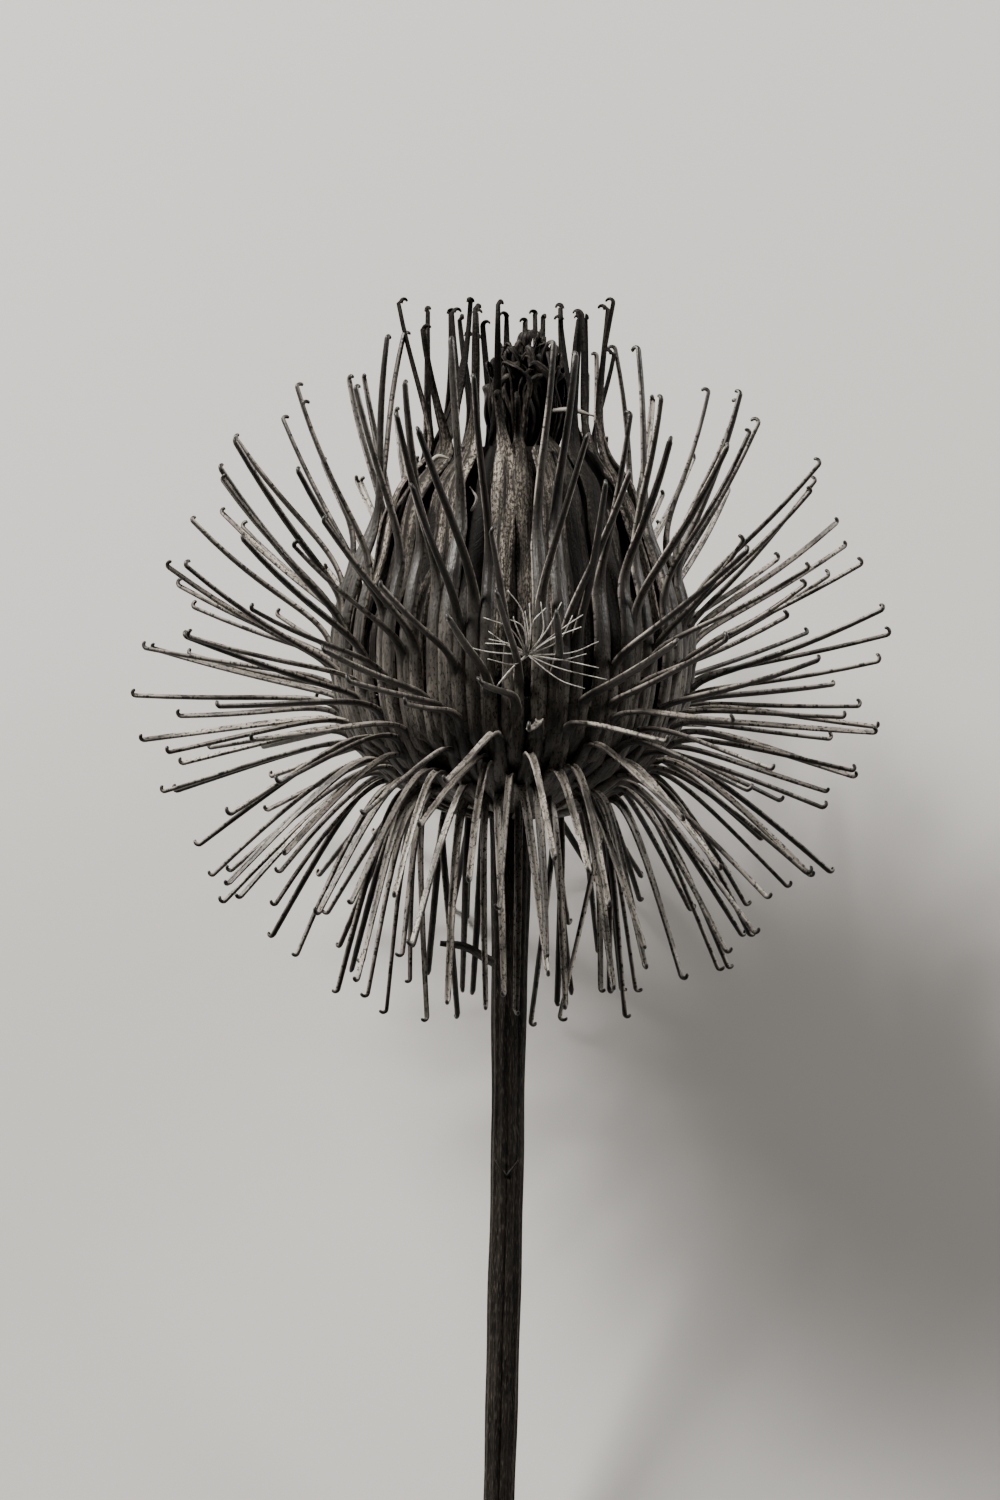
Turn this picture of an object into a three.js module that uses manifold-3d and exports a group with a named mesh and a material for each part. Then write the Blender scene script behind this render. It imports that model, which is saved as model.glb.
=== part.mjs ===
// Dried burdock bur (Arctium), a flower head of the thistle tribe gone to seed, cut with a length of its
// stalk and lying on its back on a table. Millimetres. X is across, +Y runs from the stalk to the top of
// the head, +Z is up and the table is z = 0.
//
// The bur is built upright, as it grew, with its axis on w and the middle of its head at the origin, and is
// then laid down as one group: u is to the right, v is to the back and w runs up the axis.
import * as THREE from "three";
import { mergeVertices } from "three/addons/utils/BufferGeometryUtils.js";
import Module from "manifold-3d";

// ---- driving dimensions ---------------------------------------------------------------------------
// The body of the head, measured over its closed bracts. Heights are w, from the middle of the head.
const BODY = {
  radius: 10.5, // at the waist
  waist: 1,
  foot: -8.8, // where the stalk ends
  footRadius: 1.3,
  lowerRise: 9.9, // from the waist down to where the outline would close, and the two powers of its curve
  lowerSquare: 2.6,
  lowerRound: 0.4545,
  upperRise: 17.8, // from the waist up to where it would close, and the power of its curve
  upperSquare: 1.65,
  sides: 26, // of its turned cores
  collar: -2.2, // below it the receptacle carries the outer bracts, above it stands the cup of inner ones
};
const JOINT_GAP = 0.1; // between nodes that sit on each other
const SLIVER = 0.01; // closer than this, corners are drawn together

// The hooked outer bracts. The angles are of their tips, seen from the middle of the head, in degrees.
const BRACTS = { count: 174, lowest: -80, highest: 71, crowding: 1.2 };
// How far the tips stand from the middle: less towards the top, less near the poles, and some fall short.
const REACH = { most: 22.2, upward: 1.7, poles: 0.8, over: 0.01, short: 0.13 };
// Where a bract leaves the body, by the powers of the sine of its tip's angle; the last is for upper ones.
const LEAVES = { height: -3, rise: 7.1, bow: 1.6, upward: 2.4 };
// The claw is the flat part pressed to the body; it is rooted deep in the receptacle.
const CLAW = { width: 1.05, length: 2.4, depth: 1.1, step: 3 };
// Bracts that leave the body above the collar are rooted this far below it and this deep.
const ROOT = { rim: 0.3, below: 1.4, depth: 1.2 };
// Points along the free part of a bract, each with its width, from the body to the foot of the hook.
const FREE = { at: [0, 0.2, 0.48, 1], widths: [0.85, 0.58, 0.5, 0.33] };
const FLATNESS = { depth: 0.75, most: 0.6 }; // depth of a bract over its width, and the most it can be
const HOOK = { radius: 0.24, sweep: 165, widths: [0.29, 0.24, 0] };
const REST = { height: 0.1, passes: 8 }; // how a bract is bent until it lies on the table

const INNER = { count: 30, width: 1.8, thickness: 0.62, sunk: 0.95, under: 0.35, mouth: 12.3, top: 20.9 };
// On the side that lies uppermost a few inner bracts end low, and the florets show over them.
const LOW_SIDE = { bearing: 4.95, within: 0.37, top: 13.4 };
const TUFT = { radius: 2.1, root: 14.4, top: 17.4, highest: 18.9, rim: 16.6, florets: 30, across: 0.7 };
const STALK = {
  radius: 0.88,
  taper: 0.08,
  flare: 0.33,
  ribs: 10,
  groove: 0.06,
  end: -60,
  cut: 35, // slant of the cut end
  bend: -0.6,
};

// How the bur lies: the height of its head's middle, the slope of its axis and where that middle is.
const LAID = { height: 20, slope: 18.8, across: 0.02, along: 17.36 };
const SEED = 20417;

const GOLDEN = Math.PI * (3 - Math.sqrt(5));
const DEGREE = Math.PI / 180;

// ---- the solid kernel -----------------------------------------------------------------------------
const wasm = await Module();
wasm.setup();

// A closed three.js geometry as a solid that can be joined and cut.
function solidOf(geometry) {
  const bare = new THREE.BufferGeometry().setAttribute("position", geometry.getAttribute("position"));
  if (geometry.index) bare.setIndex(geometry.index);
  const merged = mergeVertices(bare, 1e-4);
  return new wasm.Manifold(
    new wasm.Mesh({
      numProp: 3,
      vertProperties: merged.attributes.position.array,
      triVerts: new Uint32Array(merged.index.array),
    }),
  );
}

// A solid back as a geometry for a mesh.
function geometryOf(solid) {
  const mesh = solid.getMesh();
  const geometry = new THREE.BufferGeometry();
  geometry.setAttribute("position", new THREE.BufferAttribute(new Float32Array(mesh.vertProperties), 3));
  geometry.setIndex(new THREE.BufferAttribute(new Uint32Array(mesh.triVerts), 1));
  geometry.computeVertexNormals();
  return geometry;
}

// Joins solids that run into each other and keeps the outer skin, without the slivers left where they
// cross and without any pocket closed in between.
function joined(solids) {
  const whole = solids.reduce((sum, solid) => sum.add(solid)).simplify(SLIVER);
  return whole.decompose().reduce((a, b) => (b.volume() > a.volume() ? b : a));
}

// ---- small shared shapes --------------------------------------------------------------------------
// Seeded draws, so that every build grows the same head.
function makeDraw(seed) {
  let state = seed;
  return () => {
    state = (Math.imul(state, 1664525) + 1013904223) >>> 0;
    return state / 4294967296;
  };
}

const mix = (a, b, share) => a + (b - a) * share;

// A point from its bearing round the axis, its distance from the axis and its height.
function polar(bearing, radius, height) {
  return new THREE.Vector3(radius * Math.cos(bearing), radius * Math.sin(bearing), height);
}

// A closed body that carries a cross-section along a path. Each ring is {width, depth} of one section;
// a last ring of width 0 closes to a point. The section is a list of [across, inward] in -0.5..0.5.
function sweep(path, rings, section, inward) {
  const points = [];
  let face = inward.clone();
  path.forEach((centre, i) => {
    const before = path[Math.max(i - 1, 0)];
    const after = path[Math.min(i + 1, path.length - 1)];
    const along = after.clone().sub(before).normalize();
    face = face.addScaledVector(along, -face.dot(along)).normalize();
    if (rings[i].width === 0) {
      points.push(centre.clone());
      return;
    }
    const side = along.clone().cross(face);
    for (const [across, up] of section) {
      const point = centre.clone().addScaledVector(side, across * rings[i].width);
      points.push(point.addScaledVector(face, up * rings[i].depth));
    }
  });
  const n = section.length;
  const faces = [];
  for (let k = 1; k < n - 1; k++) faces.push(0, k, k + 1);
  for (let i = 0; i + 1 < path.length; i++) {
    const low = i * n;
    const high = low + n;
    for (let k = 0; k < n; k++) {
      const next = (k + 1) % n;
      if (rings[i + 1].width === 0) faces.push(low + k, high, low + next);
      else faces.push(low + k, high + next, low + next, low + k, high + k, high + next);
    }
  }
  if (rings[path.length - 1].width !== 0) {
    const last = (path.length - 1) * n;
    for (let k = 1; k < n - 1; k++) faces.push(last, last + k + 1, last + k);
  }
  const flat = new Float32Array(points.flatMap((p) => [p.x, p.y, p.z]));
  const geometry = new THREE.BufferGeometry().setAttribute("position", new THREE.BufferAttribute(flat, 3));
  geometry.setIndex(faces);
  return geometry;
}

// Three-sided section: flat towards the top of the head, keeled on its back.
const KEELED = [
  [-0.5, 0.4],
  [0, -0.6],
  [0.5, 0.4],
];

// The arc that ends every bract, curling towards its inner face, turned aside by twist.
function hookPath(tip, along, inward, twist, radius, sweepAngle) {
  const side = along.clone().cross(inward);
  const curl = inward.clone().multiplyScalar(Math.cos(twist)).addScaledVector(side, Math.sin(twist));
  return HOOK.widths.map((_, k) => {
    const turn = (sweepAngle * (k + 1)) / HOOK.widths.length;
    const point = tip.clone().addScaledVector(along, radius * Math.sin(turn));
    return point.addScaledVector(curl, radius * (1 - Math.cos(turn)));
  });
}

// A solid of revolution about the axis, from a profile of [radius, height] that starts and ends on it.
function turned(profile, sides) {
  const points = profile.map(([radius, height]) => new THREE.Vector2(radius, height));
  return solidOf(new THREE.LatheGeometry(points, sides).rotateX(Math.PI / 2));
}

// ---- the laid-down frame --------------------------------------------------------------------------
const laid = new THREE.Matrix4()
  .makeRotationX(LAID.slope * DEGREE - Math.PI / 2)
  .setPosition(LAID.across, LAID.along, LAID.height);
const upright = laid.clone().invert();

const heightOverTable = (point) => point.clone().applyMatrix4(laid).z;

// What lies under the table top, in the head's own frame: it trims a flat spot where something rests.
const underTable = solidOf(
  new THREE.BoxGeometry(400, 400, 20).translate(0, 0, -10).applyMatrix4(upright),
);

// ---- the body -------------------------------------------------------------------------------------
// Distance from the axis to the outside of the closed bracts, at a height.
function bodyRadius(height) {
  const rise = height - BODY.waist;
  if (rise < 0) {
    const share = Math.min(-rise / BODY.lowerRise, 1);
    return BODY.radius * (1 - share ** BODY.lowerSquare) ** BODY.lowerRound;
  }
  return BODY.radius * (1 - (rise / BODY.upperRise) ** BODY.upperSquare);
}

// The solid base of the head that all the outer bracts grow from.
function receptacle() {
  const skin = 0.05; // it stays this far inside the outline, under the claws
  const profile = [
    [0, BODY.foot],
    [BODY.footRadius, BODY.foot],
  ];
  for (const height of [-8.3, -6.6, -4.3, BODY.collar]) profile.push([bodyRadius(height) - skin, height]);
  profile.push([0, BODY.collar]);
  return turned(profile, BODY.sides);
}

// ---- the hooked bracts ----------------------------------------------------------------------------
// One hooked bract: it runs up the body, arches away from it and ends in a stiff shaft and a small hook.
// Its tip lies on the round outline of the bur at an angle seen from the middle.
function hookedBract(index, draw) {
  const wobble = () => draw() - 0.5;
  const order = ((index + 0.5) / BRACTS.count) ** BRACTS.crowding;
  const level = mix(Math.sin(BRACTS.lowest * DEGREE), Math.sin(BRACTS.highest * DEGREE), order);
  const bearing = index * GOLDEN + 0.12 * wobble();
  const angle = Math.asin(level) + 0.13 * wobble();
  const q = Math.sin(angle);
  const outline = REACH.most - REACH.upward * Math.max(q, 0) - REACH.poles * q ** 4;
  const reach = outline * (1 + REACH.over - REACH.short * draw() * draw());
  const tipBearing = bearing + 0.22 * wobble();
  const twist = 1.5 * wobble();
  const hookRadius = HOOK.radius * (1 + 0.4 * wobble());
  const hookSweep = (HOOK.sweep + 50 * wobble()) * DEGREE;
  const lift = 1 + 0.5 * wobble();

  const upper = Math.max(level, 0);
  const lower = Math.max(-level, 0);
  const leaves = LEAVES.height + LEAVES.rise * level + LEAVES.bow * level ** 2 + LEAVES.upward * upper ** 3;
  const slope = (bodyRadius(leaves + 0.1) - bodyRadius(leaves - 0.1)) / 0.2;
  const outward = polar(bearing, 1, 0);
  const upBody = outward.clone().multiplyScalar(slope).setZ(1).normalize();
  const start = polar(bearing, bodyRadius(leaves), leaves);
  const claw = clawPath(bearing, leaves, start, upBody);

  const free = polar(tipBearing, reach * Math.cos(angle), reach * Math.sin(angle));
  const pathTo = (tip) => {
    const shoulder = start
      .clone()
      .addScaledVector(upBody, (0.9 + 1.6 * upper) * lift)
      .addScaledVector(outward, 2.3 - 1.3 * upper - 1.5 * lower * lower);
    const curve = new THREE.CubicBezierCurve3(
      start,
      start.clone().addScaledVector(upBody, (1.7 + 1.6 * upper) * lift),
      shoulder.lerp(tip, 0.05 + 0.3 * upper),
      tip,
    );
    const along = curve.getTangent(1);
    const hook = hookPath(tip, along, upFace(along, tipBearing), twist, hookRadius, hookSweep);
    return [...claw, ...FREE.at.map((t) => curve.getPoint(t)), ...hook];
  };
  const path = restedPath(start, free, pathTo);
  const widths = [...claw.map(() => CLAW.width), ...FREE.widths, ...HOOK.widths];
  const rings = widths.map((width) => ({ width, depth: Math.min(width * FLATNESS.depth, FLATNESS.most) }));
  return solidOf(sweep(path, rings, KEELED, outward.clone().negate()));
}

// The part of a bract pressed to the body: it starts deep in the receptacle and runs up to where the bract
// leaves. The upper bracts pass over the inner ones on the way.
function clawPath(bearing, leaves, start, upBody) {
  const rim = BODY.collar - ROOT.rim;
  if (leaves < rim) {
    const inward = upBody.clone().cross(polar(bearing + Math.PI / 2, 1, 0));
    return [start.clone().addScaledVector(upBody, -CLAW.length).addScaledVector(inward, CLAW.depth)];
  }
  const rootHeight = BODY.collar - ROOT.below;
  const points = [polar(bearing, bodyRadius(rootHeight) - ROOT.depth, rootHeight)];
  const stretches = Math.ceil((leaves - rim) / CLAW.step);
  for (let k = 0; k < stretches; k++) {
    const height = mix(rim, leaves, k / stretches);
    points.push(polar(bearing, bodyRadius(height), height));
  }
  return points;
}

// The direction of a bract's inner face at a point where it runs along: up on a level bract, towards the
// axis on an upright one and away from it on one that hangs.
function upFace(along, bearing) {
  const round = polar(bearing + Math.PI / 2, 1, 0);
  return along.clone().cross(round).normalize();
}

// The path of a bract to its tip. Where the tip or the hook would be under the table, the bract is bent
// until it just rests on it: pushed up and swung aside at the same length.
function restedPath(start, free, pathTo) {
  const outerPoints = HOOK.widths.length + 2;
  const sunkBy = (path) => REST.height - Math.min(...path.slice(-outerPoints).map(heightOverTable));
  let path = pathTo(free);
  if (sunkBy(path) <= 0) return path;
  const length = free.distanceTo(start);
  const from = start.clone().applyMatrix4(laid);
  const to = free.clone().applyMatrix4(laid);
  const heading = Math.atan2(to.y - from.y, to.x - from.x);
  for (let pass = 0; pass < REST.passes; pass++) {
    to.z += sunkBy(path);
    const drop = Math.min(Math.abs(to.z - from.z), length);
    const level = Math.sqrt(length * length - drop * drop);
    to.x = from.x + level * Math.cos(heading);
    to.y = from.y + level * Math.sin(heading);
    path = pathTo(to.clone().applyMatrix4(upright));
  }
  return path;
}

function outerBracts() {
  const draw = makeDraw(SEED);
  const bracts = Array.from({ length: BRACTS.count }, (_, i) => hookedBract(i, draw));
  return joined([receptacle(), ...bracts]).subtract(underTable);
}

// ---- the inner bracts -----------------------------------------------------------------------------
// The innermost bracts are broad, flat and papery. They close over the seeds as a cup, stand apart above
// its mouth and narrow to points that are hooked like the outer ones.
function innerBracts() {
  const foot = BODY.collar + JOINT_GAP;
  const profile = [[0, foot]];
  for (const height of [foot, 1, 4.4, 7.8, 10.2, INNER.mouth]) {
    profile.push([innerRadius(height) - INNER.under, height]);
  }
  profile.push([0, INNER.mouth]);
  const draw = makeDraw(SEED + 1);
  const blades = Array.from({ length: INNER.count }, (_, i) => innerBract(i, draw));
  return joined([turned(profile, BODY.sides), ...blades]);
}

// Distance from the axis to the backs of the inner bracts at a height: low down they lie under the outer
// ones, higher up they are the outside of the body.
function innerRadius(height) {
  const free = THREE.MathUtils.smoothstep(height, 5, 10);
  return bodyRadius(height) - INNER.under - INNER.sunk * (1 - free);
}

function innerBract(index, draw) {
  const wobble = () => draw() - 0.5;
  const nearer = index % 2; // every other one stands inside its neighbours
  const bearing = ((index + 0.25 * wobble()) * 2 * Math.PI) / INNER.count;
  const splay = draw();
  const full = INNER.top - 3.4 * draw() * draw() - 0.6 * nearer * draw();
  const top = Math.abs(bearing - LOW_SIDE.bearing) < LOW_SIDE.within ? LOW_SIDE.top : full;
  const lean = 0.25 * wobble();
  const twist = 2.5 * wobble();
  const out = 0.05 - 0.3 * nearer + 0.1 * wobble();
  const foot = -1.5;
  const path = [polar(bearing, innerRadius(foot) - 0.5, foot)];
  for (const height of [1.4, 4.8, 8, 10.2, 12]) {
    const turn = lean * Math.max(height / 10 - 1, 0);
    path.push(polar(bearing + turn, innerRadius(height) + out, height));
  }
  const past = mix(12, top, 0.35); // where it has narrowed to half
  const shoulder = polar(bearing + 0.5 * lean, 5 + 0.5 * splay - 1.3 * nearer, past);
  const tip = polar(bearing + lean, 4.6 + 2.2 * splay - 1.7 * nearer, top);
  const along = tip.clone().sub(shoulder).normalize();
  const hook = hookPath(tip, along, upFace(along, bearing), twist, HOOK.radius, HOOK.sweep * DEGREE);
  path.push(shoulder, tip, ...hook);
  const shares = [0.7, 0.9, 1, 1, 0.95, 0.85, 0.42, 0.2, 0.17, 0.14, 0];
  const rings = shares.map((share) => {
    const width = share * INNER.width;
    return { width, depth: Math.min(INNER.thickness, width * 0.8) };
  });
  return solidOf(sweep(path, rings, KEELED, polar(bearing, -1, 0)));
}

// ---- the withered florets -------------------------------------------------------------------------
// Brown corollas still stand in the mouth of the bur, shrivelled and curled over each other.
function floretTuft() {
  const foot = INNER.mouth + JOINT_GAP;
  const core = turned(
    [
      [0, foot],
      [TUFT.radius, foot],
      [TUFT.radius + 0.2, foot + 2.2],
      [TUFT.radius - 0.6, TUFT.top - 0.4],
      [0, TUFT.top],
    ],
    12,
  );
  const draw = makeDraw(SEED + 2);
  const florets = Array.from({ length: TUFT.florets }, (_, i) => floret(i, draw));
  return joined([core, ...florets]).translate(TUFT.across, 0, 0);
}

function floret(index, draw) {
  const wobble = () => draw() - 0.5;
  const bearing = index * GOLDEN;
  const spread = Math.sqrt((index + 0.5) / TUFT.florets);
  const top = mix(TUFT.highest, TUFT.rim, spread * spread) + 0.9 * wobble();
  const curl = 0.35 + 0.35 * wobble();
  const path = [
    polar(bearing, 1.7 * spread, TUFT.root),
    polar(bearing + 0.1, 2.2 * spread + 0.1, mix(TUFT.root, top, 0.55)),
    polar(bearing + 0.25, 2.3 * spread + 0.2, top),
    polar(bearing + 0.7, 2.1 * spread + 0.1 + curl, top + 0.1),
  ];
  const rings = [0.5, 0.62, 0.7, 0.4].map((width) => ({ width, depth: 0.5 }));
  return solidOf(sweep(path, rings, KEELED, polar(bearing, -1, 0)));
}

// ---- the stalk ------------------------------------------------------------------------------------
// Grooved stalk, nearly straight, flared where it carries the head and cut on the slant at its lower end,
// with the stump of one small leaf.
function stalk() {
  const top = BODY.foot - JOINT_GAP;
  const steps = 14;
  const section = Array.from({ length: STALK.ribs * 2 }, (_, k) => {
    const turn = (Math.PI * k) / STALK.ribs;
    const radius = 1 + (k % 2 ? -STALK.groove : STALK.groove);
    return [radius * Math.cos(turn), radius * Math.sin(turn)];
  });
  const path = [];
  const rings = [];
  for (let k = 0; k <= steps; k++) {
    const share = k / steps;
    const height = mix(STALK.end, top, share);
    path.push(new THREE.Vector3(stalkShift(height), 0, height));
    const radius = STALK.radius + STALK.taper * share + STALK.flare * share ** 9;
    rings.push({ width: radius, depth: radius });
  }
  const body = solidOf(sweep(path, rings, section, new THREE.Vector3(0, 1, 0)));
  const cutter = new THREE.BoxGeometry(8, 8, 4).translate(0, 0, -2).rotateX(-STALK.cut * DEGREE);
  cutter.translate(stalkShift(STALK.end), 0, STALK.end + 1);
  return joined([body, leafStump()]).subtract(solidOf(cutter)).subtract(underTable);
}

// Sideways bend of the stalk at a height: it swings a little towards -u below the head.
function stalkShift(height) {
  const share = (BODY.foot - height) / (BODY.foot - STALK.end);
  return STALK.bend * share ** 3;
}

function leafStump() {
  const path = [
    [0.1, 0, -18.2],
    [-1.2, 0.2, -17.6],
    [-2.6, 0.5, -16.9],
    [-4.1, 0.7, -16.7],
  ].map(([u, v, w]) => new THREE.Vector3(u, v, w));
  const rings = [1.2, 1.3, 0.9, 0.5].map((width) => ({ width, depth: 0.62 }));
  return solidOf(sweep(path, rings, KEELED, new THREE.Vector3(0, 0, 1)));
}

// ---- materials and assembly -----------------------------------------------------------------------
function dried(colour, roughness) {
  return new THREE.MeshStandardMaterial({ color: colour, roughness, metalness: 0 });
}

const bur = new THREE.Group();
bur.applyMatrix4(laid);
const nodes = [
  ["stalk", stalk(), dried(0x3a332c, 0.8)],
  ["outer_bracts", outerBracts(), dried(0x433c35, 0.65)],
  ["inner_bracts", innerBracts(), dried(0x6b6257, 0.7)],
  ["floret_tuft", floretTuft(), dried(0x2c231d, 0.9)],
];
for (const [name, solid, material] of nodes) {
  const mesh = new THREE.Mesh(geometryOf(solid), material);
  mesh.name = name;
  bur.add(mesh);
}

const part = new THREE.Group();
part.add(bur);
export default part;
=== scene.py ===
import math

import bpy
from mathutils import Matrix, Vector


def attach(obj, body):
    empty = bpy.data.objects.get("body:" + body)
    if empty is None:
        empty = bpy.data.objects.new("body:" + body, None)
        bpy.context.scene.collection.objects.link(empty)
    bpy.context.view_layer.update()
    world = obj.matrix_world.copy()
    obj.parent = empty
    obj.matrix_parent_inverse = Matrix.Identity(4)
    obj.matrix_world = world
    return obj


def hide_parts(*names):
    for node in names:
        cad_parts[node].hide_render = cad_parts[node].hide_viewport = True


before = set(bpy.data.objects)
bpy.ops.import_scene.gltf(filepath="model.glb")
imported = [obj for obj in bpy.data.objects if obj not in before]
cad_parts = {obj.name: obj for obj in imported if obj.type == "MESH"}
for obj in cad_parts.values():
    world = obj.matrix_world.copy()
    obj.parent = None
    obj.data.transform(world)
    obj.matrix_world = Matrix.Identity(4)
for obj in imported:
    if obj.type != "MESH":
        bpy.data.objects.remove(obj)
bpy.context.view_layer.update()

# ---- Camera -------------------------------------------------------------------------------------
# A small studio camera with a long lens looks straight at the side of the bur that lies uppermost.
# It leans a hair to the left, so the head leans to the right.
MILLIMETRE = 0.001
HEAD_MIDDLE = Vector((0.02, 17.36, 20.0))  # where the middle of the head lies, 20 over the table
STALK_SLOPE = math.radians(18.8)
BUR_LAID = Matrix.Translation(HEAD_MIDDLE) @ Matrix.Rotation(STALK_SLOPE - math.pi / 2, 4, "X")


def lay_down(point):
    """A point of the upright bur, in millimetres, where it lies in the room, in metres."""
    return (BUR_LAID @ point) * MILLIMETRE


CAMERA_DISTANCE = 350
FIELD_HEIGHT = 88.0  # millimetres of the bur's own plane that the picture takes in
AIM = Vector((-0.7, 0, -5.3))
CAMERA_LEAN = math.radians(0.6)
SENSOR = 36
LOOKING_AWAY = Matrix(((1, 0, 0), (0, 0, -1), (0, 1, 0)))  # a camera that looks along v, with w upward

camera_data = bpy.data.cameras.new("camera")
camera_data.sensor_width = SENSOR
camera_data.lens = SENSOR * CAMERA_DISTANCE / FIELD_HEIGHT
camera_data.clip_start = 0.01
camera_data.clip_end = 20
camera = bpy.data.objects.new("camera", camera_data)
bpy.context.collection.objects.link(camera)
camera.matrix_world = (
    Matrix.Translation(lay_down(AIM - Vector((0, CAMERA_DISTANCE, 0))))
    @ (BUR_LAID.to_3x3() @ LOOKING_AWAY).to_4x4()
    @ Matrix.Rotation(CAMERA_LEAN, 4, "Z")
)
bpy.context.scene.camera = camera


# ---- Stalk --------------------------------------------------------------------------------------
# The flower stalk: a stiff dry stem a little under two millimetres thick, with fine grooves along it.
# It flares where it carries the head, and was cut on the slant at its lower end.
class Draw:
    """Seeded draws between 0 and 1, the same on every run."""

    def __init__(self, seed):
        self.state = seed

    def __call__(self):
        self.state = (self.state * 1664525 + 1013904223) & 0xFFFFFFFF
        return self.state / 4294967296

    def wobble(self):
        return self() - 0.5


def mix(a, b, share):
    return a + (b - a) * share


def polar(bearing, radius, height):
    return Vector((radius * math.cos(bearing), radius * math.sin(bearing), height))


BACK = -0.5  # how far inward the back of a strip's section is, as a share of its depth


class Growth:
    """Collects grown strips of one tissue into a single mesh. Each vertex keeps where it is across and
    along its strip, in millimetres, how far along the strip it is, whether it is on the inner face or on
    the back, and a tone that the whole strip has."""

    def __init__(self):
        self.points = []
        self.faces = []
        self.across = []
        self.along = []
        self.share = []
        self.inner = []
        self.tone = []

    def add_ring(self, ring, across, inner, along, share, tone):
        for point in ring:
            spot = lay_down(point)
            spot.z = max(spot.z, 0.0)  # nothing sinks into the table
            self.points.append(spot)
        self.across.extend(across)
        self.inner.extend(inner)
        self.along.extend([along] * len(ring))
        self.share.extend([share] * len(ring))
        self.tone.extend([tone] * len(ring))

    def carry(self, path, sizes, section, face, tone, turns=None):
        """Carries a closed section, given as (across, inward) shares, along a path. sizes holds the
        (width, depth) of each ring and turns how far each ring is twisted."""
        count = len(section)
        first = len(self.points)
        length = 0.0
        face = face.copy()
        for i, centre in enumerate(path):
            before, after = path[max(i - 1, 0)], path[min(i + 1, len(path) - 1)]
            along = (after - before).normalized()
            face = (face - along * face.dot(along)).normalized()
            side = along.cross(face)
            turn = turns[i] if turns else 0.0
            lean = face * math.cos(turn) + side * math.sin(turn)
            flank = along.cross(lean)
            width, depth = sizes[i]
            if i:
                length += (centre - path[i - 1]).length
            ring = [centre + flank * (a * width) + lean * (b * depth) for a, b in section]
            across = [a * width for a, b in section]
            inner = [b for a, b in section]
            self.add_ring(ring, across, inner, length, i / (len(path) - 1), tone)
        for i in range(len(path) - 1):
            low = first + i * count
            high = low + count
            for k in range(count):
                nxt = (k + 1) % count
                self.faces.append((low + k, high + k, high + nxt, low + nxt))
        self.faces.append(tuple(range(first, first + count)))
        last = first + (len(path) - 1) * count
        self.faces.append(tuple(range(last + count - 1, last - 1, -1)))

    def close_round(self, first, rings, sides):
        """Joins rings of so many sides, added upward from the vertex first on, and closes both ends."""
        for i in range(rings - 1):
            low = first + i * sides
            high = low + sides
            for k in range(sides):
                nxt = (k + 1) % sides
                self.faces.append((low + k, low + nxt, high + nxt, high + k))
        self.faces.append(tuple(range(first + sides - 1, first - 1, -1)))
        last = first + (rings - 1) * sides
        self.faces.append(tuple(range(last, last + sides)))

    def turn_solid(self, profile, sides, tone, ripple):
        """Turns a profile of (radius, height) about the axis. ripple(bearing, height) moves it outward,
        but not where it closes on the axis."""
        first = len(self.points)
        length = 0.0
        for i, (radius, height) in enumerate(profile):
            if i:
                length += math.hypot(radius - profile[i - 1][0], height - profile[i - 1][1])
            ring = []
            across = []
            for k in range(sides):
                bearing = 2 * math.pi * k / sides
                out = ripple(bearing, height) if radius > 1 else 0.0
                ring.append(polar(bearing, radius + out, height))
                across.append(radius * bearing)
            self.add_ring(ring, across, [BACK] * sides, length, i / (len(profile) - 1), tone)
        self.close_round(first, len(profile), sides)

    def make(self, name, material):
        mesh = bpy.data.meshes.new(name)
        mesh.from_pydata(self.points, [], self.faces)
        mesh.polygons.foreach_set("use_smooth", [True] * len(mesh.polygons))
        for key in ("across", "along", "share", "inner", "tone"):
            layer = mesh.attributes.new(key, "FLOAT", "POINT")
            layer.data.foreach_set("value", getattr(self, key))
        uv = mesh.uv_layers.new(name="UVMap")
        for loop in mesh.loops:
            i = loop.vertex_index
            uv.data[loop.index].uv = (self.across[i], self.along[i])
        mesh.materials.append(material)
        piece = bpy.data.objects.new(name, mesh)
        bpy.context.collection.objects.link(piece)
        return piece


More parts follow.
